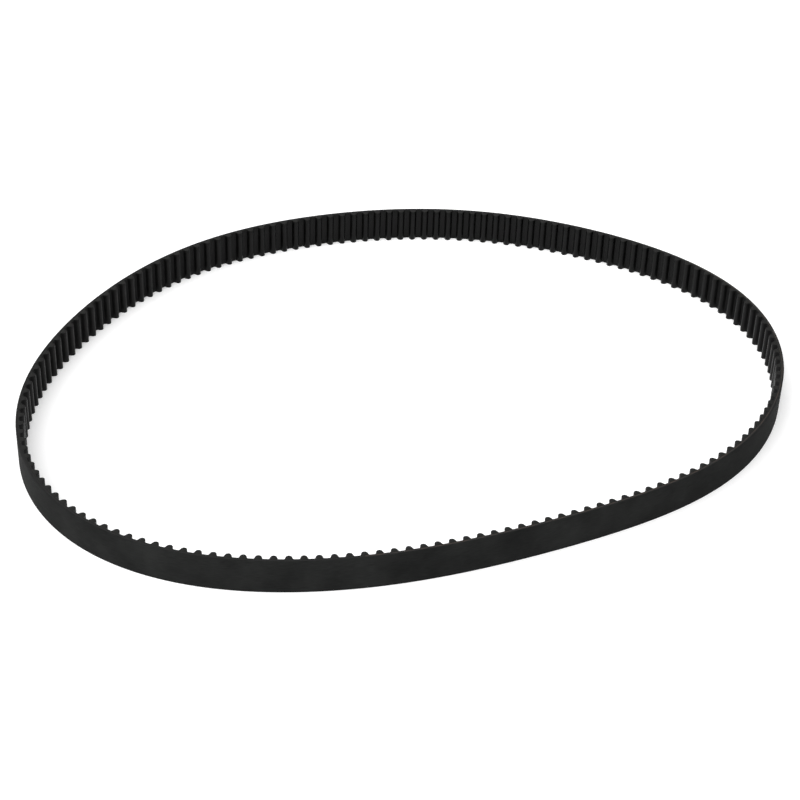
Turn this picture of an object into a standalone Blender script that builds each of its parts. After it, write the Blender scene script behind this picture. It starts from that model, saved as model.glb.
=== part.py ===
"""Endless timing belt with round teeth on its inner face, standing on its edge.

Run with: blender --background --python part.py

The belt has four bonded layers: a rubber backing, a band of fibreglass tension cords, the
tooth rubber and a fabric facing over the teeth. It is one flexible ring. Here it is cut into
five lengths, so that the ring can be squeezed: four hinges on the cord line, at the corners of
a parallelogram, and one open seam in the back right-hand run, whose two ends move together.

Frame: metres, +Z up, the belt's lower edge at z = 0, +X along the loop's long side and -Y
towards the front. The origin is below the middle of the loop.
"""

import math

import bmesh
import bpy
import numpy as np

MM = 0.001

# The belt's own size.
TOOTH_COUNT = 160
PITCH = 9.525 * MM
BELT_WIDTH = 25.4 * MM

# A tooth: a round tip on two steep flanks, with hollow roots that run out into the lands.
TOOTH_HEIGHT = 3.5 * MM
TIP_RADIUS = 2.15 * MM
TIP_CENTRE = TOOTH_HEIGHT - TIP_RADIUS
FLANK_SLOPE = math.radians(19)
ROOT_RADIUS = 0.6 * MM
ROOT_CENTRE = (
    TIP_RADIUS + TIP_CENTRE * math.sin(FLANK_SLOPE) + ROOT_RADIUS * (1 - math.sin(FLANK_SLOPE))
) / math.cos(FLANK_SLOPE)

# The layers, from the inside out, with the gap that keeps neighbouring layers apart.
FACING_THICKNESS = 0.25 * MM
WEB_THICKNESS = 0.2 * MM
CORD_DIAMETER = 0.8 * MM
BACKING_THICKNESS = 0.85 * MM
LAYER_GAP = 0.05 * MM

# How far the layers lie from the cord line, which is PITCH * TOOTH_COUNT long.
CORD_EDGE = CORD_DIAMETER / 2
BACKING_INSIDE = CORD_EDGE + LAYER_GAP
BACKING_OUTSIDE = BACKING_INSIDE + BACKING_THICKNESS
WEB_OUTSIDE = CORD_EDGE + LAYER_GAP
LAND_DEPTH = WEB_OUTSIDE + WEB_THICKNESS + LAYER_GAP + FACING_THICKNESS

# The loop seen from above, followed clockwise from the middle of the back run. Its heading
# makes one even turn, on which these slow waves ride:
# (waves in one round, swing of the heading in degrees, phase in degrees).
START_HEADING = math.radians(-2.0)
HEADING_WAVES = [
    (2, 12.35, 47),
    (3, 5.20, -100),
    (4, 0.80, -39),
    (5, 0.30, 88),
    (6, 0.85, 167),
    (7, 0.70, 113),
]
STEPS_PER_PITCH = 32
CLOSING_ROUNDS = 8

# The lands between teeth are numbered along the loop. Hinges and the seam each cut one land.
BACK_HINGE_LAND = 2
SEAM_LAND = 20
RIGHT_HINGE_LAND = 37
FRONT_HINGE_LAND = 80
LEFT_HINGE_LAND = 118
HINGE_CUT = 0.7 * MM
SEAM_CUT = 0.3 * MM

# Half a tip and each root are drawn as polygons round their circles, with this many corners.
ARC_CORNERS = 2
CORNER_STEP = (math.pi / 2 - FLANK_SLOPE) / ARC_CORNERS

MATERIALS = {
    "backing_rubber": ((0.028, 0.029, 0.030), 0.62),
    "cord_fibre": ((0.060, 0.036, 0.022), 0.55),
    "tooth_rubber": ((0.020, 0.020, 0.021), 0.70),
    "facing_fabric": ((0.035, 0.034, 0.034), 0.80),
}


def clear_scene():
    for old in list(bpy.data.objects):
        bpy.data.objects.remove(old, do_unlink=True)


def make_materials():
    made = {}
    for name, (colour, roughness) in MATERIALS.items():
        material = bpy.data.materials.new(name)
        material.use_nodes = True
        shader = material.node_tree.nodes["Principled BSDF"]
        shader.inputs["Base Color"].default_value = (*colour, 1.0)
        shader.inputs["Roughness"].default_value = roughness
        shader.inputs["Metallic"].default_value = 0.0
        material.diffuse_color = (*colour, 1.0)
        made[name] = material
    return made


def headings(turn, swing):
    """Heading at each turn angle; swing is the single wave that closes the loop."""
    heading = START_HEADING - turn + swing[0] * np.sin(turn) + swing[1] * np.cos(turn)
    for waves, degrees, phase in HEADING_WAVES:
        heading = heading + math.radians(degrees) * np.sin(waves * turn + math.radians(phase))
    return heading


def closing_swing():
    """The single wave with which the line comes back to its start, by Newton's method."""
    count = TOOTH_COUNT * STEPS_PER_PITCH
    turn = 2 * math.pi * (np.arange(count) + 0.5) / count
    swing = np.zeros(2)
    for _ in range(CLOSING_ROUNDS):
        heading = headings(turn, swing)
        miss = np.array([np.cos(heading).mean(), np.sin(heading).mean()])
        sideways = np.array([-np.sin(heading), np.cos(heading)])
        slopes = np.array([
            [(sideways[row] * wave(turn)).mean() for wave in (np.sin, np.cos)] for row in (0, 1)
        ])
        swing = swing - np.linalg.solve(slopes, miss)
    return swing


class CordLine:
    """The line along the middle of the cords, as a closed curve seen from above."""

    def __init__(self):
        self.swing = closing_swing()
        count = TOOTH_COUNT * STEPS_PER_PITCH
        middles = 2 * math.pi * (np.arange(count) + 0.5) / count
        heading = headings(middles, self.swing)
        step = PITCH / STEPS_PER_PITCH
        self.places = np.arange(count + 1) / STEPS_PER_PITCH
        self.x = np.concatenate([[0.0], np.cumsum(np.cos(heading) * step)])
        self.y = np.concatenate([[0.0], np.cumsum(np.sin(heading) * step)])
        back = np.array([self.point(land, BACKING_OUTSIDE) for land in range(TOOTH_COUNT)])
        self.x -= (back[:, 0].min() + back[:, 0].max()) / 2
        self.y -= (back[:, 1].min() + back[:, 1].max()) / 2

    def point(self, place, outward):
        """The point that lies outward metres off the line, place pitches along it."""
        place = place % TOOTH_COUNT
        heading = float(headings(2 * math.pi * place / TOOTH_COUNT, self.swing))
        x = float(np.interp(place, self.places, self.x))
        y = float(np.interp(place, self.places, self.y))
        return (x - math.sin(heading) * outward, y + math.cos(heading) * outward)


def hinge_points(line):
    """The four hinge axes, nudged off the line by under 0.1 mm into an exact parallelogram."""
    left, front, right, back = (
        np.array(line.point(land, 0.0))
        for land in (LEFT_HINGE_LAND, FRONT_HINGE_LAND, RIGHT_HINGE_LAND, BACK_HINGE_LAND)
    )
    nudge = (left + right - front - back) / 4
    return {
        "left": left - nudge,
        "front": front + nudge,
        "right": right - nudge,
        "back": back + nudge,
    }


def tooth_corners(inset):
    """Corners of a tooth, (along, height above the land), inset metres under its surface."""
    tip_reach = (TIP_RADIUS - inset) / math.cos(CORNER_STEP / 2)
    root_reach = (ROOT_RADIUS + inset) / math.cos(CORNER_STEP / 2)
    turns = [(corner + 0.5) * CORNER_STEP for corner in range(ARC_CORNERS)]
    half = []
    for turn in turns:
        along = ROOT_CENTRE - root_reach * math.sin(turn)
        half.append((along, ROOT_RADIUS - root_reach * math.cos(turn)))
    for turn in turns:
        angle = FLANK_SLOPE + turn
        half.append((tip_reach * math.cos(angle), TIP_CENTRE + tip_reach * math.sin(angle)))
    return [(-along, height) for along, height in half] + half[::-1]


def toothed_side(line, ends, inset, land_middles):
    """The toothed surface between two ends, inset metres under it, as points from above."""
    first, last = ends
    depth = -(LAND_DEPTH - inset)
    points = [line.point(first, depth)]
    for tooth in range(math.floor(first), math.ceil(last)):
        if land_middles and tooth > first:
            points.append(line.point(tooth, depth))
        for along, height in tooth_corners(inset):
            points.append(line.point(tooth + 0.5 + along / PITCH, -(LAND_DEPTH + height)))
    points.append(line.point(last, depth))
    return points


def plain_side(line, ends, outward):
    """A smooth surface between two ends, with a corner at each land's middle."""
    first, last = ends
    places = [first, *range(math.floor(first) + 1, math.ceil(last)), last]
    return [line.point(place, outward) for place in places]


def add_layer(name, outer, inner, pivot, material):
    """One layer of a length: the strip between two lines, raised by the belt's width.

    outer and inner run the same way. inner may have several steps to each step of outer.
    """
    bm = bmesh.new()
    origin = pivot.matrix_world.translation
    outer_row = [bm.verts.new((x - origin.x, y - origin.y, 0.0)) for x, y in outer]
    inner_row = [bm.verts.new((x - origin.x, y - origin.y, 0.0)) for x, y in inner]
    steps = (len(inner) - 1) // (len(outer) - 1)
    for cell in range(len(outer) - 1):
        inner_part = inner_row[cell * steps:(cell + 1) * steps + 1]
        bm.faces.new([outer_row[cell + 1], outer_row[cell], *inner_part])
    raised = bmesh.ops.extrude_face_region(bm, geom=bm.faces[:])["geom"]
    raised_verts = [item for item in raised if isinstance(item, bmesh.types.BMVert)]
    bmesh.ops.translate(bm, verts=raised_verts, vec=(0.0, 0.0, BELT_WIDTH))
    bmesh.ops.recalc_face_normals(bm, faces=bm.faces[:])
    mesh = bpy.data.meshes.new(name)
    bm.to_mesh(mesh)
    bm.free()
    mesh.materials.append(material)
    layer = bpy.data.objects.new(name, mesh)
    bpy.context.scene.collection.objects.link(layer)
    layer.parent = pivot
    return layer


def add_length(line, name, ends, pivot, materials):
    """The four layers of one length of the belt, all on the same pivot."""
    add_layer(
        "backing_" + name,
        plain_side(line, ends, BACKING_OUTSIDE),
        plain_side(line, ends, BACKING_INSIDE),
        pivot,
        materials["backing_rubber"],
    )
    add_layer(
        "tension_cords_" + name,
        plain_side(line, ends, CORD_EDGE),
        plain_side(line, ends, -CORD_EDGE),
        pivot,
        materials["cord_fibre"],
    )
    add_layer(
        "tooth_rubber_" + name,
        plain_side(line, ends, -WEB_OUTSIDE),
        toothed_side(line, ends, FACING_THICKNESS + LAYER_GAP, land_middles=True),
        pivot,
        materials["tooth_rubber"],
    )
    add_layer(
        "tooth_facing_" + name,
        toothed_side(line, ends, FACING_THICKNESS, land_middles=False),
        toothed_side(line, ends, 0.0, land_middles=False),
        pivot,
        materials["facing_fabric"],
    )


def add_pivot(name, place, parent):
    """An empty on a hinge's axis, for the length that turns there to hang on."""
    pivot = bpy.data.objects.new(name, None)
    bpy.context.scene.collection.objects.link(pivot)
    pivot.parent = parent
    base = parent.matrix_world.translation if parent else (0.0, 0.0, 0.0)
    pivot.location = (place[0] - base[0], place[1] - base[1], 0.0)
    bpy.context.view_layer.update()
    return pivot


def main():
    clear_scene()
    materials = make_materials()
    line = CordLine()
    hinges = hinge_points(line)
    belt = add_pivot("belt_pivot", (0.0, 0.0), None)
    front = add_pivot("front_hinge", hinges["front"], belt)
    right = add_pivot("right_hinge", hinges["right"], front)
    left = add_pivot("left_hinge", hinges["left"], belt)
    back = add_pivot("back_hinge", hinges["back"], left)
    hinge_half = HINGE_CUT / 2 / PITCH
    seam_half = SEAM_CUT / 2 / PITCH
    lengths = [
        ("back_right", SEAM_LAND, seam_half, RIGHT_HINGE_LAND, hinge_half, right),
        ("front_right", RIGHT_HINGE_LAND, hinge_half, FRONT_HINGE_LAND, hinge_half, front),
        ("front_left", FRONT_HINGE_LAND, hinge_half, LEFT_HINGE_LAND, hinge_half, belt),
        ("back_left", LEFT_HINGE_LAND, hinge_half, BACK_HINGE_LAND + TOOTH_COUNT, hinge_half, left),
        ("back_middle", BACK_HINGE_LAND, hinge_half, SEAM_LAND, seam_half, back),
    ]
    for name, first_land, first_gap, last_land, last_gap, pivot in lengths:
        ends = (first_land + first_gap, last_land - last_gap)
        add_length(line, name, ends, pivot, materials)


main()
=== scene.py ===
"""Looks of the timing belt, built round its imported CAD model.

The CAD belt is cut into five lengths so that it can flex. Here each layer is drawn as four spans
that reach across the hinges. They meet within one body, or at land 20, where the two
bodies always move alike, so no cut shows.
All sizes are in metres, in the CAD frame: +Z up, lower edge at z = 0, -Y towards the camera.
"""

import math

import bmesh
import bpy
import numpy as np
from mathutils import Matrix, Vector


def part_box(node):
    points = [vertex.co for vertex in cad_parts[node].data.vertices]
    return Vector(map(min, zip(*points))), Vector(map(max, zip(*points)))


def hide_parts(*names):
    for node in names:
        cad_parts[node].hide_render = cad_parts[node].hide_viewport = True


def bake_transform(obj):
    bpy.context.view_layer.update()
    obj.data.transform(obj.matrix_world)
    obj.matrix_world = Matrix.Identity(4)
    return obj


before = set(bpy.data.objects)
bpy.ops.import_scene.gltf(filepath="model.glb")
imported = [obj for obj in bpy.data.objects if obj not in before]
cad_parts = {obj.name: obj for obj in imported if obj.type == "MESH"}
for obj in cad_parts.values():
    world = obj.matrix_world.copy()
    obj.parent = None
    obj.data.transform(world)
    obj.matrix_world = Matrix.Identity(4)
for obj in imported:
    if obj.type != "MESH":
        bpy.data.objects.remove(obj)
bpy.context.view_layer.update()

MM = 0.001

# The belt's own size, as in its CAD model.
TOOTH_COUNT = 160
PITCH = 9.525 * MM
LOOP_LENGTH = TOOTH_COUNT * PITCH
BELT_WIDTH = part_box("backing_front_left")[1].z
TOOTH_HEIGHT = 3.5 * MM
TIP_RADIUS = 2.15 * MM
FLANK_SLOPE = math.radians(19)
ROOT_RADIUS = 0.6 * MM

# How far the surfaces lie from the cord line: outwards is positive.
BACK_FACE = 1.30 * MM
LAND_DEPTH = 0.95 * MM
FACING_THICKNESS = 0.25 * MM
CORD_RADIUS = 0.4 * MM

# The loop seen from above, followed clockwise from the middle of the back run:
# (waves in one round, swing of the heading in degrees, phase in degrees).
START_HEADING = math.radians(-2.0)
HEADING_WAVES = [
    (2, 12.35, 47),
    (3, 5.20, -100),
    (4, 0.80, -39),
    (5, 0.30, 88),
    (6, 0.85, 167),
    (7, 0.70, 113),
]
STEPS_PER_PITCH = 32
CLOSING_ROUNDS = 8

# Spans of the drawn belt: name, first and last land, and the bodies at its two ends.
SPANS = [
    ("right", 20, 59, "back_right", "front_right"),
    ("front", 59, 99, "front_right", "front_left"),
    ("left", 99, 140, "front_left", "back_left"),
    ("back", 140, 180, "back_left", "back_middle"),
]

# A span's end points are worked out these many lands in from its two ends, and it ends a hair short
# of the next span.
BLEND_MARGIN = 1.5
SPAN_GAP = 0.0005 * MM

# Stations along half a tooth's outline, and along the smooth backing.
LAND_STEPS = 4
ROOT_STEPS = 5
FLANK_STEPS = 2
TIP_STEPS = 7
BACKING_STATIONS_PER_PITCH = 6

# How far the points on a layer's plain side bunch up like those on its toothed side, 0 to 1.
BUNCHING = 0.6

# Rounding of each layer's corners, and its rows of faces from edge to edge.
BACKING_CORNER = 0.16 * MM
BACKING_ROWS = 8
TOOTH_CORNER = 0.05 * MM
TOOTH_ROWS = 2
FACING_CORNER = 0.06 * MM
FACING_ROWS = 6
SHARP_ANGLE = math.radians(50)

# Cord winding: one helix of side-by-side turns across the belt's width. At CORD_SHOWS_FROM, in
# lands, a turn lies just inside the upper edge, and from there it climbs out through that edge.
CORD_STEP = 1.6 * MM
CORD_SHOWS_FROM = 12.0
CORD_SIDES = 8
CORD_STATIONS_PER_PITCH = 2
FEWEST_CORD_STATIONS = 3

# A turn is drawn while its middle is between these heights, and is sliced flat at the belt's edges.
CORD_LOWEST = CORD_RADIUS * 0.4
CORD_HIGHEST = BELT_WIDTH + CORD_RADIUS * 0.7
LOWER_SLICE = 0.02 * MM
UPPER_SLICE = BELT_WIDTH + 0.02 * MM

# The darkest and palest colour of each surface, in linear light.
TONES = {
    "backing_rubber": ((0.0075, 0.0078, 0.0077), (0.0165, 0.0170, 0.0166)),
    "backing_cut": ((0.006, 0.006, 0.006), (0.012, 0.012, 0.012)),
    "tooth_cut": ((0.005, 0.005, 0.005), (0.011, 0.011, 0.010)),
    # The facing's darker tone is partly painted shade in the weave's hollows.
    "facing_fabric": ((0.0002, 0.0002, 0.0002), (0.0032, 0.0033, 0.0032)),
    "facing_edge": ((0.006, 0.006, 0.006), (0.020, 0.019, 0.018)),
    "cord_fibre": ((0.010, 0.0068, 0.0052), (0.042, 0.026, 0.017)),
    "floor_paper": ((0.90, 0.90, 0.90), (0.93, 0.93, 0.93)),
}
BACKING_DUST = (0.030, 0.030, 0.028)
FACING_DUST = (0.030, 0.029, 0.027)
RUBBER_SMEAR = (0.008, 0.0078, 0.0076)

# Width of one thread of the facing's weave, and how the cord's strands wind, in millimetres.
THREAD_WIDTH = 0.5
STRAND_TURN_ALONG = 1.9
STRAND_TURN_AROUND = 5.0

# The camera stands as far off as the belt's shape in perspective asks for.
CAMERA_DISTANCE = 151.0 * PITCH
CAMERA_ELEVATION = math.radians(35.63)
CAMERA_ROLL = math.radians(2.04)
CAMERA_LENS = 91.0
LOOK_AT = Vector((-0.685 * PITCH, -0.817 * PITCH, 0.0))

# The floor is a light table: its size, and how strongly it shines.
FLOOR_SIZE = 24.0
FLOOR_GLOW = 0.22


# ---------------------------------------------------------------- the cord line


def headings(turn, swing):
    """Heading at each turn angle; swing is the single wave that closes the loop."""
    heading = START_HEADING - turn + swing[0] * np.sin(turn) + swing[1] * np.cos(turn)
    for waves, degrees, phase in HEADING_WAVES:
        heading = heading + math.radians(degrees) * np.sin(waves * turn + math.radians(phase))
    return heading


def closing_swing():
    """The single wave with which the line comes back to its start, by Newton's method."""
    count = TOOTH_COUNT * STEPS_PER_PITCH
    turn = 2 * math.pi * (np.arange(count) + 0.5) / count
    swing = np.zeros(2)
    for _ in range(CLOSING_ROUNDS):
        heading = headings(turn, swing)
        miss = np.array([np.cos(heading).mean(), np.sin(heading).mean()])
        sideways = np.array([-np.sin(heading), np.cos(heading)])
        slopes = np.array([
            [(sideways[row] * wave(turn)).mean() for wave in (np.sin, np.cos)] for row in (0, 1)
        ])
        swing = swing - np.linalg.solve(slopes, miss)
    return swing


class CordLine:
    """The line along the middle of the cords, as a closed curve seen from above."""

    def __init__(self):
        self.swing = closing_swing()
        count = TOOTH_COUNT * STEPS_PER_PITCH
        middles = 2 * math.pi * (np.arange(count) + 0.5) / count
        heading = headings(middles, self.swing)
        step = PITCH / STEPS_PER_PITCH
        self.places = np.arange(count + 1) / STEPS_PER_PITCH
        self.x = np.concatenate([[0.0], np.cumsum(np.cos(heading) * step)])
        self.y = np.concatenate([[0.0], np.cumsum(np.sin(heading) * step)])
        back = self.points(np.arange(TOOTH_COUNT, dtype=float), BACK_FACE)
        self.x -= (back[:, 0].min() + back[:, 0].max()) / 2
        self.y -= (back[:, 1].min() + back[:, 1].max()) / 2

    def points(self, places, outward):
        """Points that lie outward metres off the line, at these places, in pitches."""
        places = np.mod(places, TOOTH_COUNT)
        heading = headings(2 * math.pi * places / TOOTH_COUNT, self.swing)
        x = np.interp(places, self.places, self.x)
        y = np.interp(places, self.places, self.y)
        return np.stack([x - np.sin(heading) * outward, y + np.cos(heading) * outward], axis=1)


# ---------------------------------------------------------------- the tooth


def half_tooth(inset):
    """Half a tooth from the land's middle to the tip's, inset metres under its surface.

    Gives (distance from the tooth's middle, height above the land) along arcs and lines.
    """
    tip = TIP_RADIUS - inset
    root = ROOT_RADIUS + inset
    tip_centre = TOOTH_HEIGHT - TIP_RADIUS
    slope = FLANK_SLOPE
    root_centre = (
        TIP_RADIUS + tip_centre * math.sin(slope) + ROOT_RADIUS * (1 - math.sin(slope))
    ) / math.cos(slope)
    points = []
    for land in np.linspace(PITCH / 2, root_centre, LAND_STEPS + 1)[:-1]:
        points.append((land, -inset))
    for angle in np.linspace(math.pi / 2, slope, ROOT_STEPS + 1):
        along = root_centre - root * math.cos(angle)
        points.append((along, ROOT_RADIUS - root * math.sin(angle)))
    foot = points[-1]
    shoulder = (tip * math.cos(slope), tip_centre + tip * math.sin(slope))
    for share in np.linspace(0, 1, FLANK_STEPS + 1)[1:-1]:
        points.append(tuple(np.array(foot) + share * (np.array(shoulder) - np.array(foot))))
    for angle in np.linspace(slope, math.pi / 2, TIP_STEPS + 1):
        points.append((tip * math.cos(angle), tip_centre + tip * math.sin(angle)))
    return np.array(points)


def tooth_row(first, last, inset):
    """Places (in pitches) and heights along the toothed surface from land to land."""
    half = half_tooth(inset)
    rise = np.stack([-half[:, 0], half[:, 1]], axis=1)
    fall = half[::-1][1:]
    whole = np.concatenate([rise, fall])[:-1]
    places, heights = [], []
    for tooth in range(first, last):
        places.append(tooth + 0.5 + whole[:, 0] / PITCH)
        heights.append(whole[:, 1])
    places.append([float(last)])
    heights.append([-inset])
    return np.concatenate(places), np.concatenate(heights)


def run_lengths(places, heights):
    """Distance travelled along a toothed surface, in metres."""
    steps = np.hypot(np.diff(places) * PITCH, np.diff(heights))
    return np.concatenate([[0.0], np.cumsum(steps)])


# ---------------------------------------------------------------- meshes


def section_ring(edge, rows):
    """One cross-section as (side, shift, height): side 0 is outside and 1 is inside.

    The four corners are rounded by edge. shift moves a point from its side to the other.
    """
    quarter = edge * (1 - math.sqrt(0.5))
    levels = np.linspace(edge, BELT_WIDTH - edge, rows + 1)[1:-1]
    ring = [(0, 0.0, edge), (0, quarter, quarter), (0, edge, 0.0)]
    ring += [(1, edge, 0.0), (1, quarter, quarter), (1, 0.0, edge)]
    ring += [(1, 0.0, level) for level in levels]
    ring += [(1, 0.0, BELT_WIDTH - edge), (1, quarter, BELT_WIDTH - quarter), (1, edge, BELT_WIDTH)]
    ring += [(0, edge, BELT_WIDTH), (0, quarter, BELT_WIDTH - quarter), (0, 0.0, BELT_WIDTH - edge)]
    ring += [(0, 0.0, level) for level in levels[::-1]]
    return ring


def is_cut(a, b):
    """Whether the ring's step from a to b lies on a cut edge of the belt."""
    return a[0] != b[0]


def make_object(name, verts, faces, uvs, slots, materials):
    """A smooth mesh object from arrays; uvs has one pair for each face corner."""
    mesh = bpy.data.meshes.new(name)
    mesh.from_pydata(verts, [], faces)
    layer = mesh.uv_layers.new(name="UVMap")
    layer.data.foreach_set("uv", np.asarray(uvs, dtype=np.float32).ravel())
    mesh.polygons.foreach_set("material_index", slots)
    for material in materials:
        mesh.materials.append(material)
    mesh.shade_smooth()
    bm = bmesh.new()
    bm.from_mesh(mesh)
    if bm.calc_volume(signed=True) < 0:
        bmesh.ops.reverse_faces(bm, faces=bm.faces[:])
    bm.to_mesh(mesh)
    bm.free()
    mesh.set_sharp_from_angle(angle=SHARP_ANGLE)
    obj = bpy.data.objects.new(name, mesh)
    bpy.context.scene.collection.objects.link(obj)
    return obj


def sweep(name, outer, inner, edge, rows, materials):
    """A layer between two rails, as plain_rail and toothed_rail give them.

    materials has one for the skin and one for the cut edges and ends.
    """
    ring = section_ring(edge, rows)
    size = len(ring)
    count = len(outer["xy"])
    across = inner["xy"] - outer["xy"]
    across /= np.linalg.norm(across, axis=1)[:, None]
    verts = np.zeros((count, size, 3))
    skin = np.zeros((count, size, 2))
    cut = np.zeros((count, size, 2))
    for index, (side, shift, height) in enumerate(ring):
        rail = inner if side else outer
        step = -shift if side else shift
        verts[:, index, :2] = rail["xy"] + across * step
        verts[:, index, 2] = height
        skin[:, index, 0] = rail["run"]
        skin[:, index, 1] = height
        cut[:, index, 0] = rail["place"] * PITCH
        cut[:, index, 1] = rail["depth"] - step
    verts = verts.reshape(-1, 3)
    skin = skin.reshape(-1, 2)
    cut = cut.reshape(-1, 2)
    faces, uvs, slots = [], [], []
    for station in range(count - 1):
        here = station * size
        there = here + size
        for index in range(size):
            after = (index + 1) % size
            corners = (here + index, here + after, there + after, there + index)
            on_cut = is_cut(ring[index], ring[after])
            faces.append(corners)
            slots.append(1 if on_cut else 0)
            uvs.extend((cut if on_cut else skin)[corner] for corner in corners)
    last = (count - 1) * size
    for corners in (range(size - 1, -1, -1), range(last, last + size)):
        faces.append(tuple(corners))
        slots.append(1)
        uvs.extend(cut[corner] for corner in corners)
    return make_object(name, verts, faces, uvs, slots, materials)


def trimmed(places):
    """The places with both ends drawn in a hair, so that neighbouring spans never touch."""
    places = np.array(places, dtype=float)
    places[0] += SPAN_GAP / PITCH / 2
    places[-1] -= SPAN_GAP / PITCH / 2
    return places


def plain_rail(line, places, outward):
    """One smooth side of a layer: its points, distance run, place and depth at each station."""
    return {
        "xy": line.points(trimmed(places), outward),
        "run": places * PITCH,
        "place": places,
        "depth": np.full(len(places), outward),
    }


def toothed_rail(line, first, last, inset):
    """One toothed side of a layer, inset metres under the belt's toothed surface."""
    places, heights = tooth_row(first, last, inset)
    one_tooth = run_lengths(*tooth_row(0, 1, inset))[-1]
    depths = -(LAND_DEPTH + heights)
    return {
        "xy": line.points(trimmed(places), depths),
        "run": first * one_tooth + run_lengths(places, heights),
        "place": places,
        "depth": depths,
    }


def even_places(first, last, inset):
    """Places for a plain rail that faces a toothed one, point for point."""
    places, _ = tooth_row(first, last, inset)
    level = np.linspace(first, last, len(places))
    return places * BUNCHING + level * (1 - BUNCHING)


# ---------------------------------------------------------------- materials


class Nodes:
    """A small helper for building one material's node tree."""

    def __init__(self, name):
        self.material = bpy.data.materials.new(name)
        self.material.use_nodes = True
        self.tree = self.material.node_tree
        self.shader = self.tree.nodes["Principled BSDF"]

    def add(self, kind, **settings):
        node = self.tree.nodes.new(kind)
        for key, value in settings.items():
            setattr(node, key, value)
        return node

    def link(self, source, target):
        self.tree.links.new(source, target)

    def math(self, operation, first, second=None):
        """A Math node's result; first and second are numbers or sockets."""
        node = self.add("ShaderNodeMath", operation=operation)
        for socket, value in zip(node.inputs, (first, second)):
            if value is None:
                continue
            if isinstance(value, (int, float)):
                socket.default_value = value
            else:
                self.link(value, socket)
        return node.outputs[0]

    def weighted_sum(self, first, first_weight, second, second_weight):
        return self.math(
            "ADD",
            self.math("MULTIPLY", first, first_weight),
            self.math("MULTIPLY", second, second_weight),
        )

    def belt_millimetres(self, along=1.0):
        """The place on the surface in millimetres; a small along draws a pattern out lengthwise."""
        uv = self.add("ShaderNodeUVMap", uv_map="UVMap")
        mapping = self.add("ShaderNodeMapping")
        mapping.inputs["Scale"].default_value = (along / MM, 1.0 / MM, 1.0)
        self.link(uv.outputs["UV"], mapping.inputs["Vector"])
        return mapping.outputs["Vector"]

    def along_and_across(self):
        """The place on the surface in millimetres, as two separate values."""
        parts = self.add("ShaderNodeSeparateXYZ")
        self.link(self.belt_millimetres(), parts.inputs["Vector"])
        return parts.outputs["X"], parts.outputs["Y"]

    def noise(self, vector, scale, detail=3.0, roughness=0.55):
        node = self.add("ShaderNodeTexNoise")
        node.inputs["Scale"].default_value = scale
        node.inputs["Detail"].default_value = detail
        node.inputs["Roughness"].default_value = roughness
        self.link(vector, node.inputs["Vector"])
        return node.outputs["Fac"]

    def ramp(self, value, low, high, low_out=0.0, high_out=1.0):
        """Maps value from low..high to low_out..high_out, and holds it there beyond."""
        node = self.add("ShaderNodeMapRange")
        for key, number in (
            ("From Min", low), ("From Max", high), ("To Min", low_out), ("To Max", high_out),
        ):
            node.inputs[key].default_value = number
        self.link(value, node.inputs["Value"])
        return node.outputs["Result"]

    def mix_colours(self, share, first, second):
        """A colour from first at share 0 to second at share 1; each is a tuple or a socket."""
        node = self.add("ShaderNodeMix", data_type="RGBA")
        self.link(share, node.inputs["Factor"])
        colours = [s for s in node.inputs if s.type == "RGBA"]
        for socket, value in zip(colours, (first, second)):
            if isinstance(value, tuple):
                socket.default_value = (*value, 1.0)
            else:
                self.link(value, socket)
        return [s for s in node.outputs if s.type == "RGBA"][0]

    def bump(self, height, depth, under=None):
        """The normal of a surface whose height varies by depth metres, over another bump."""
        node = self.add("ShaderNodeBump")
        node.inputs["Strength"].default_value = 1.0
        node.inputs["Distance"].default_value = depth
        self.link(height, node.inputs["Height"])
        if under is not None:
            self.link(under, node.inputs["Normal"])
        return node.outputs["Normal"]

    def finish(self, colour, roughness, normal, specular):
        self.link(colour, self.shader.inputs["Base Color"])
        self.link(roughness, self.shader.inputs["Roughness"])
        self.link(normal, self.shader.inputs["Normal"])
        self.shader.inputs["Specular IOR Level"].default_value = specular
        return self.material


# In the materials below, a noise's scale is in bumps per millimetre, apart from the floor's.


def backing_rubber():
    """Ground rubber: fine grain, faint grinding lines along the belt, a little pale dust."""
    n = Nodes("backing_rubber")
    place = n.belt_millimetres()
    patches = n.noise(place, 0.03, detail=4.0)
    grain = n.noise(place, 3.2, detail=4.0, roughness=0.7)
    lines = n.noise(n.belt_millimetres(along=0.06), 2.4, roughness=0.6)
    shade = n.weighted_sum(patches, 0.55, lines, 0.45)
    base = n.mix_colours(n.ramp(shade, 0.38, 0.62), *TONES["backing_rubber"])
    specks = n.noise(place, 1.3, detail=2.0, roughness=0.5)
    dust = n.ramp(specks, 0.70, 0.80, high_out=0.25)
    colour = n.mix_colours(dust, base, BACKING_DUST)
    roughness = n.ramp(n.math("ADD", grain, patches), 0.7, 1.3, 0.62, 0.76)
    normal = n.bump(grain, 0.020 * MM)
    normal = n.bump(lines, 0.012 * MM, under=normal)
    return n.finish(colour, roughness, normal, specular=0.02)


def cut_rubber(name):
    """A knife-cut edge: matte rubber with fine drag lines along the cut."""
    n = Nodes(name)
    drag = n.noise(n.belt_millimetres(along=0.12), 5.0, roughness=0.65)
    grain = n.noise(n.belt_millimetres(), 6.0, roughness=0.6)
    shade = n.ramp(n.math("ADD", drag, grain), 0.75, 1.25)
    colour = n.mix_colours(shade, *TONES[name])
    roughness = n.ramp(grain, 0.3, 0.7, 0.62, 0.82)
    normal = n.bump(drag, 0.040 * MM)
    normal = n.bump(grain, 0.020 * MM, under=normal)
    return n.finish(colour, roughness, normal, specular=0.20)


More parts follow.
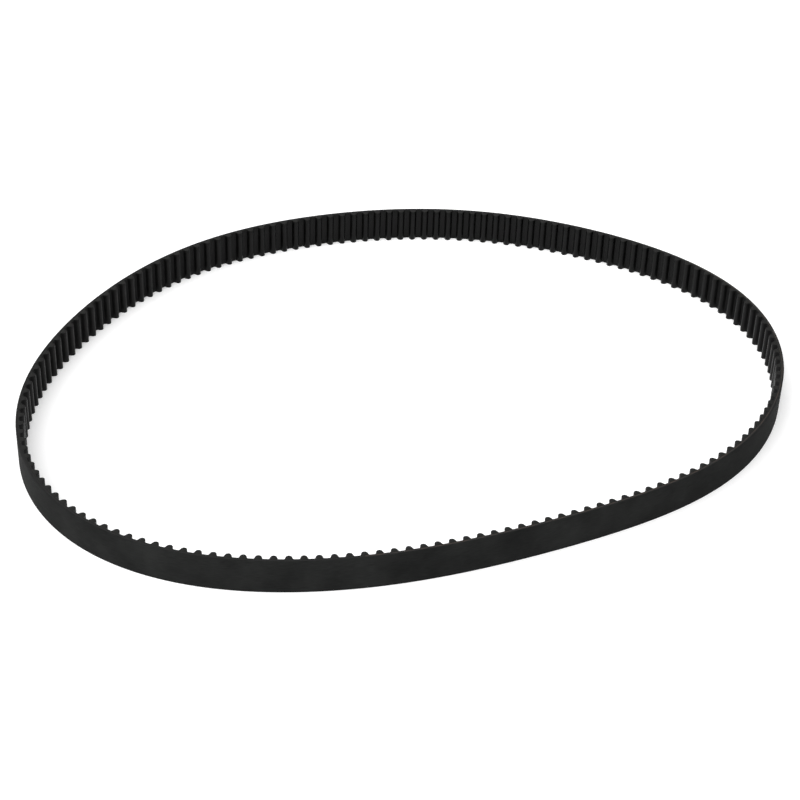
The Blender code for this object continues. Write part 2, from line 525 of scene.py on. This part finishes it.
def facing_fabric():
    """Woven nylon over the teeth: threads that pass over and under each other, with painted shade on
    the lower threads and in the hollows between them, and a little dust.
    """
    n = Nodes("facing_fabric")
    place = n.belt_millimetres()
    along, across = n.along_and_across()
    warp = n.math("SINE", n.math("MULTIPLY", along, math.pi / THREAD_WIDTH))
    weft = n.math("SINE", n.math("MULTIPLY", across, math.pi / THREAD_WIDTH))
    warp_on_top = n.math("GREATER_THAN", n.math("MULTIPLY", warp, weft), 0.0)
    warp_height = n.ramp(warp_on_top, 0.0, 1.0, 0.55, 1.0)
    weft_height = n.ramp(warp_on_top, 0.0, 1.0, 1.0, 0.55)
    warp_threads = n.math("MULTIPLY", n.math("ABSOLUTE", warp), warp_height)
    weft_threads = n.math("MULTIPLY", n.math("ABSOLUTE", weft), weft_height)
    threads = n.math("MAXIMUM", warp_threads, weft_threads)
    patches = n.noise(place, 0.12, detail=4.0)
    fuzz = n.noise(place, 9.0, roughness=0.7)
    # Painted shade: the colour follows the thread heights, darker on threads that pass under and in
    # the hollows between threads; the patches add a real random tone.
    shade = n.ramp(n.weighted_sum(threads, 0.7, patches, 0.6), 0.55, 1.05)
    base = n.mix_colours(shade, *TONES["facing_fabric"])
    dust = n.ramp(n.noise(place, 0.9, roughness=0.6), 0.66, 0.80, high_out=0.20)
    colour = n.mix_colours(dust, base, FACING_DUST)
    roughness = n.ramp(n.math("ADD", fuzz, patches), 0.7, 1.3, 0.28, 0.38)
    normal = n.bump(threads, 0.050 * MM)
    normal = n.bump(fuzz, 0.008 * MM, under=normal)
    return n.finish(colour, roughness, normal, specular=0.12)


def facing_edge():
    """The cut edge of the facing: closely packed thread ends, pale in the middle."""
    n = Nodes("facing_edge")
    ends = n.add("ShaderNodeTexVoronoi")
    ends.inputs["Scale"].default_value = 6.0
    n.link(n.belt_millimetres(), ends.inputs["Vector"])
    spread = ends.outputs["Distance"]
    dark, pale = TONES["facing_edge"]
    colour = n.mix_colours(n.ramp(spread, 0.05, 0.6), pale, dark)
    roughness = n.ramp(spread, 0.0, 0.7, 0.70, 0.90)
    normal = n.bump(spread, 0.050 * MM)
    return n.finish(colour, roughness, normal, specular=0.25)


def cord_fibre():
    """Glass fibre: fine amber-brown strands that wind round the cord, smeared with rubber."""
    n = Nodes("cord_fibre")
    place = n.belt_millimetres()
    along, around = n.along_and_across()
    winding = n.weighted_sum(along, STRAND_TURN_ALONG, around, STRAND_TURN_AROUND)
    strands = n.math("ABSOLUTE", n.math("SINE", winding))
    fuzz = n.noise(place, 8.0, roughness=0.7)
    shade = n.ramp(n.weighted_sum(strands, 0.5, fuzz, 0.6), 0.35, 0.90)
    fibre = n.mix_colours(shade, *TONES["cord_fibre"])
    smear = n.ramp(n.noise(place, 0.09, roughness=0.6), 0.46, 0.56, high_out=0.85)
    colour = n.mix_colours(smear, fibre, RUBBER_SMEAR)
    roughness = n.ramp(fuzz, 0.3, 0.7, 0.45, 0.70)
    normal = n.bump(strands, 0.050 * MM)
    return n.finish(colour, roughness, normal, specular=0.35)


def floor_paper():
    """White paper on a light table, which glows a little and so keeps the shadows faint."""
    n = Nodes("floor_paper")
    coordinates = n.add("ShaderNodeTexCoord")
    tooth = n.noise(coordinates.outputs["Object"], 900.0)
    colour = n.mix_colours(tooth, *TONES["floor_paper"])
    roughness = n.ramp(tooth, 0.0, 1.0, 0.85, 0.95)
    n.shader.inputs["Emission Color"].default_value = (1.0, 1.0, 1.0, 1.0)
    n.shader.inputs["Emission Strength"].default_value = FLOOR_GLOW
    return n.finish(colour, roughness, n.bump(tooth, 0.02 * MM), specular=0.2)


# ---------------------------------------------------------------- the belt's layers


def add_backing(line, span, first, last, materials):
    """The outer rubber, from the cord line out to the ground back face."""
    places = np.linspace(first, last, (last - first) * BACKING_STATIONS_PER_PITCH + 1)
    outer = plain_rail(line, places, BACK_FACE)
    inner = plain_rail(line, places, 0.0)
    return sweep("backing_" + span, outer, inner, BACKING_CORNER, BACKING_ROWS, materials)


def add_tooth_rubber(line, span, first, last, materials):
    """The rubber from the cord line in to the facing, teeth and all."""
    inner = toothed_rail(line, first, last, FACING_THICKNESS)
    outer = plain_rail(line, even_places(first, last, FACING_THICKNESS), 0.0)
    return sweep("tooth_rubber_" + span, outer, inner, TOOTH_CORNER, TOOTH_ROWS, materials)


def add_tooth_facing(line, span, first, last, materials):
    """The woven cover that follows every tooth and land."""
    inner = toothed_rail(line, first, last, 0.0)
    outer = toothed_rail(line, first, last, FACING_THICKNESS)
    return sweep("tooth_facing_" + span, outer, inner, FACING_CORNER, FACING_ROWS, materials)


def cord_runs(first, last):
    """The places and heights of each turn of the winding that crosses a span."""
    turns = math.ceil(BELT_WIDTH / CORD_STEP) + 2
    for turn in range(-turns, turns):
        places = trimmed(np.linspace(first, last, (last - first) * CORD_STATIONS_PER_PITCH + 1))
        heights = cord_height(turn, places)
        inside = (heights > CORD_LOWEST) & (heights < CORD_HIGHEST)
        if inside.sum() >= FEWEST_CORD_STATIONS:
            yield places[inside], heights[inside]


def cord_height(turn, places):
    """Height of the cord's middle: it climbs by one step in each round of the belt."""
    start = BELT_WIDTH - CORD_RADIUS
    return start + CORD_STEP * (turn + (places - CORD_SHOWS_FROM) / TOOTH_COUNT)


def add_cords(line, span, first, last, materials):
    """The cords of a span as side-by-side tubes, sliced flat where the belt's edge cuts them."""
    angles = 2 * math.pi * np.arange(CORD_SIDES) / CORD_SIDES
    verts, faces, uvs = [], [], []
    for places, heights in cord_runs(first, last):
        base = len(verts)
        for place, height in zip(places, heights):
            for angle in angles:
                point = line.points(np.array([place]), CORD_RADIUS * math.cos(angle))[0]
                level = height + CORD_RADIUS * math.sin(angle)
                level = min(max(level, LOWER_SLICE), UPPER_SLICE)
                verts.append((point[0], point[1], level))
        count = len(places)
        for station in range(count - 1):
            for side in range(CORD_SIDES):
                after = (side + 1) % CORD_SIDES
                here = base + station * CORD_SIDES
                there = here + CORD_SIDES
                faces.append((here + side, here + after, there + after, there + side))
                for corner, turn in ((0, side), (0, side + 1), (1, side + 1), (1, side)):
                    around = turn / CORD_SIDES * 2 * math.pi * CORD_RADIUS
                    uvs.append((places[station + corner] * PITCH, around))
        for start, order in ((base, -1), (base + (count - 1) * CORD_SIDES, 1)):
            faces.append(tuple(start + side for side in range(CORD_SIDES))[::order])
            uvs.extend((places[0] * PITCH, 0.0) for _ in range(CORD_SIDES))
    slots = [0] * len(faces)
    return make_object("tension_cords_" + span, verts, faces, uvs, slots, materials)


def place_on_bodies(line, piece, layer, slot, span):
    """Bakes a span's piece in place and hides the CAD parts of the two bodies at its ends."""
    _, first, last, body_a, body_b = span
    ends = line.points(np.array([first + BLEND_MARGIN, last - BLEND_MARGIN]), 0.0)
    start, end = ((x, y, BELT_WIDTH / 2) for x, y in ends)
    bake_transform(piece)
    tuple(start)
    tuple(end)
    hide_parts(f"{layer}_{body_a}", f"{layer}_{body_b}")


def add_belt():
    """Every layer of every span; a layer is (name, record slot, its maker, its materials)."""
    line = CordLine()
    rubber = backing_rubber()
    backing_cut = cut_rubber("backing_cut")
    tooth_cut = cut_rubber("tooth_cut")
    fabric = facing_fabric()
    fabric_edge = facing_edge()
    fibre = cord_fibre()
    layers = [
        ("backing", "backing_rubber", add_backing, [rubber, backing_cut]),
        ("tension_cords", "cord_fibre", add_cords, [fibre]),
        ("tooth_rubber", "tooth_rubber", add_tooth_rubber, [tooth_cut, tooth_cut]),
        ("tooth_facing", "facing_fabric", add_tooth_facing, [fabric, fabric_edge]),
    ]
    for span in SPANS:
        name, first, last = span[:3]
        for layer, slot, build, materials in layers:
            piece = build(line, name, first, last, materials)
            place_on_bodies(line, piece, layer, slot, span)


# ---------------------------------------------------------------- floor, light and camera


def add_floor():
    bpy.ops.mesh.primitive_plane_add(size=FLOOR_SIZE, location=(0.0, 0.0, 0.0))
    floor = bpy.context.object
    floor.name = "floor"
    floor.data.materials.append(floor_paper())


def add_wide_light(name, azimuth, elevation, spread, strength):
    """A big soft light a long way off; azimuth 0 is in front of the belt, right is positive."""
    data = bpy.data.lights.new(name, "SUN")
    data.angle = math.radians(spread)
    data.energy = strength
    lamp = bpy.data.objects.new(name, data)
    bpy.context.scene.collection.objects.link(lamp)
    turn, climb = math.radians(azimuth), math.radians(elevation)
    level = math.cos(climb)
    towards = Vector((math.sin(turn) * level, -math.cos(turn) * level, math.sin(climb)))
    lamp.rotation_euler = towards.to_track_quat("Z", "Y").to_euler()


def add_sky(strength, azimuth, swing):
    """A plain white sky that is brighter towards one side, like a wall of windows."""
    world = bpy.data.worlds.new("studio")
    bpy.context.scene.world = world
    world.use_nodes = True
    nodes = world.node_tree.nodes
    links = world.node_tree.links
    nodes["Background"].inputs["Color"].default_value = (1.0, 1.0, 1.0, 1.0)
    turn = math.radians(azimuth)
    direction = nodes.new("ShaderNodeTexCoord")
    towards = nodes.new("ShaderNodeVectorMath")
    towards.operation = "DOT_PRODUCT"
    towards.inputs[1].default_value = (math.sin(turn), -math.cos(turn), 0.0)
    share = nodes.new("ShaderNodeMath")
    share.operation = "MULTIPLY_ADD"
    share.inputs[1].default_value = strength * swing
    share.inputs[2].default_value = strength
    links.new(direction.outputs["Generated"], towards.inputs[0])
    links.new(towards.outputs["Value"], share.inputs[0])
    links.new(share.outputs["Value"], nodes["Background"].inputs["Strength"])


def add_lights():
    add_sky(strength=1.00, azimuth=-65, swing=0.8)
    add_wide_light("key", azimuth=-40, elevation=58, spread=90, strength=1.6)


def add_camera():
    """The photographer's camera: in front of the belt, looking down on it, a little rolled."""
    data = bpy.data.cameras.new("camera")
    data.sensor_width = 36.0
    data.lens = CAMERA_LENS
    data.clip_start = 0.05
    data.clip_end = 30.0
    camera = bpy.data.objects.new("camera", data)
    bpy.context.scene.collection.objects.link(camera)
    back = Vector((0.0, -math.cos(CAMERA_ELEVATION), math.sin(CAMERA_ELEVATION)))
    tilt = Matrix.Rotation(math.pi / 2 - CAMERA_ELEVATION, 4, "X")
    roll = Matrix.Rotation(CAMERA_ROLL, 4, "Z")
    camera.matrix_world = Matrix.Translation(LOOK_AT + back * CAMERA_DISTANCE) @ tilt @ roll
    bpy.context.scene.camera = camera


bpy.context.scene.view_settings.view_transform = "Standard"
add_camera()
add_belt()
add_floor()
add_lights()
